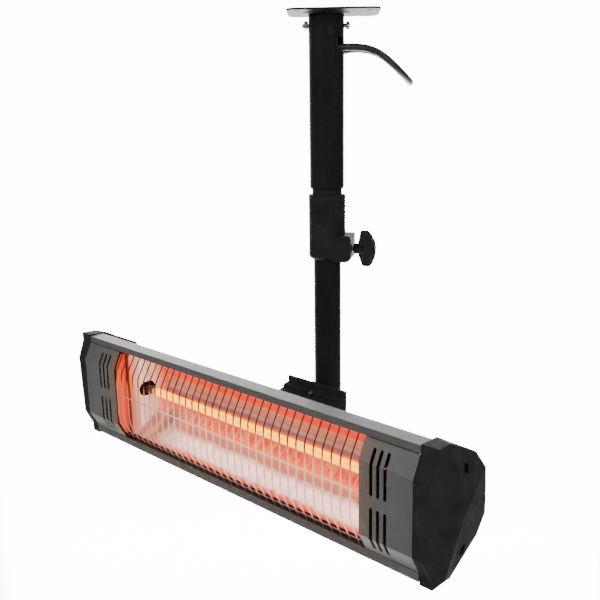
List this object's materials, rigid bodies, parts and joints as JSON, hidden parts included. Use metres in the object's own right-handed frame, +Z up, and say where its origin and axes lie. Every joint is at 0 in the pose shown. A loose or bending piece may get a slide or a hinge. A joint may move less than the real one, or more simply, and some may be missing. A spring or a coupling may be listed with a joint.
{
  "type": "ceiling-hung infrared strip heater",
  "caption": "Infrared strip heater with a quartz lamp behind a wire guard, hung on a telescopic ceiling pole that slides, swivels and tilts.",
  "frame": {"origin": "middle of the ceiling plate's top face, on the pole's axis", "axes": "+Z up into the ceiling; +X along the head's long side, towards the end cap without the wiring box; -Y is the side that the lamp faces"},
  "size_m": [0.6106, 0.312, 0.565],
  "materials": {
    "powder_black": "satin black powder coat",
    "moulded_black": "matt moulded black",
    "rubber_black": "matt black",
    "zinc": "zinc plated",
    "rail_aluminium": "satin anodised",
    "panel_grey": "satin grey",
    "guard_steel": "bright plated wire",
    "mirror_aluminium": "polished, lit orange by the lamp",
    "quartz": "clear quartz glass",
    "tungsten": "glowing coil",
    "ceramic": "unglazed",
    "lead_sleeve": "braided glass sleeve",
    "brass": "bright",
    "nylon": "natural"
  },
  "bodies": {
    "ceiling_mount": {"ceiling_plate": "powder_black", "plate_spigot": "powder_black", "upper_tube": "powder_black", "cross_bolt": "zinc", "cross_bolt_nut": "zinc", "tube_blanking_plug": "moulded_black", "slot_grommet": "rubber_black", "power_cord": "rubber_black", "cord_hank": "rubber_black", "hank_strap": "rubber_black", "plug_body": "rubber_black", "plug_blade_line": "brass", "plug_blade_neutral": "brass", "plug_pin_ground": "brass", "clamp_collar": "moulded_black", "clamp_nut": "zinc"},
    "guide": {"guide_bush": "nylon"},
    "pole": {"lower_tube": "powder_black", "tube_end_plug": "moulded_black", "pole_saddle": "moulded_black", "rear_bracket": "moulded_black", "saddle_bolt_upper": "zinc", "saddle_bolt_lower": "zinc"},
    "clamp_screw_pad": {"clamp_pad": "brass"},
    "knob": {"wing_knob": "moulded_black", "knob_stud": "zinc"},
    "head": {"hinge_bracket": "powder_black", "left_end_cap": "moulded_black", "right_end_cap": "moulded_black", "wiring_cover": "moulded_black", "pivot_bolt": "zinc", "pivot_nut": "zinc", "hinge_screw_left": "zinc", "hinge_screw_right": "zinc", "left_end_frame": "zinc", "right_end_frame": "zinc", "cap_screw_left_upper": "zinc", "cap_screw_left_lower": "zinc", "cap_screw_right_upper": "zinc", "cap_screw_right_lower": "zinc", "lamp_holder_left": "zinc", "lamp_holder_right": "zinc", "friction_washer_left": "nylon", "friction_washer_right": "nylon", "thermal_cutout": "nylon", "housing": "rail_aluminium", "left_louvre_panel": "panel_grey", "right_louvre_panel": "panel_grey", "wire_guard": "guard_steel", "reflector": "mirror_aluminium", "reflector_end_left": "mirror_aluminium", "reflector_end_right": "mirror_aluminium", "quartz_tube": "quartz", "filament": "tungsten", "lamp_base_left": "ceramic", "lamp_base_right": "ceramic", "terminal_block": "ceramic", "lamp_lead_left": "lead_sleeve", "lamp_lead_right": "lead_sleeve"}
  },
  "joints": [
    {"name": "pole_slide", "type": "slide", "parent": "ceiling_mount", "child": "guide", "axis": [0, 0, -1], "range_m": [-0.055, 0.064]},
    {"name": "pole_turn", "type": "hinge", "parent": "guide", "child": "pole", "pos_m": [0, 0, 0], "axis": [0, 0, 1], "range_deg": [-90, 90]},
    {"name": "head_tilt", "type": "hinge", "parent": "pole", "child": "head", "pos_m": [0, -0.0675, -0.4925], "axis": [1, 0, 0], "range_deg": [0, 45]},
    {"name": "clamp_travel", "type": "slide", "parent": "ceiling_mount", "child": "clamp_screw_pad", "axis": [0.8572, 0.515, 0], "range_m": [0, 0.0021]},
    {"name": "knob_turn", "type": "hinge", "parent": "clamp_screw_pad", "child": "knob", "pos_m": [0.03429, 0.0206, -0.288], "axis": [0.8572, 0.515, 0], "range_deg": [0, 720]}
  ],
  "couplings": [
    {"joint": "clamp_travel", "follows": "knob_turn", "m_per_rad": 0.00015915}
  ]
}
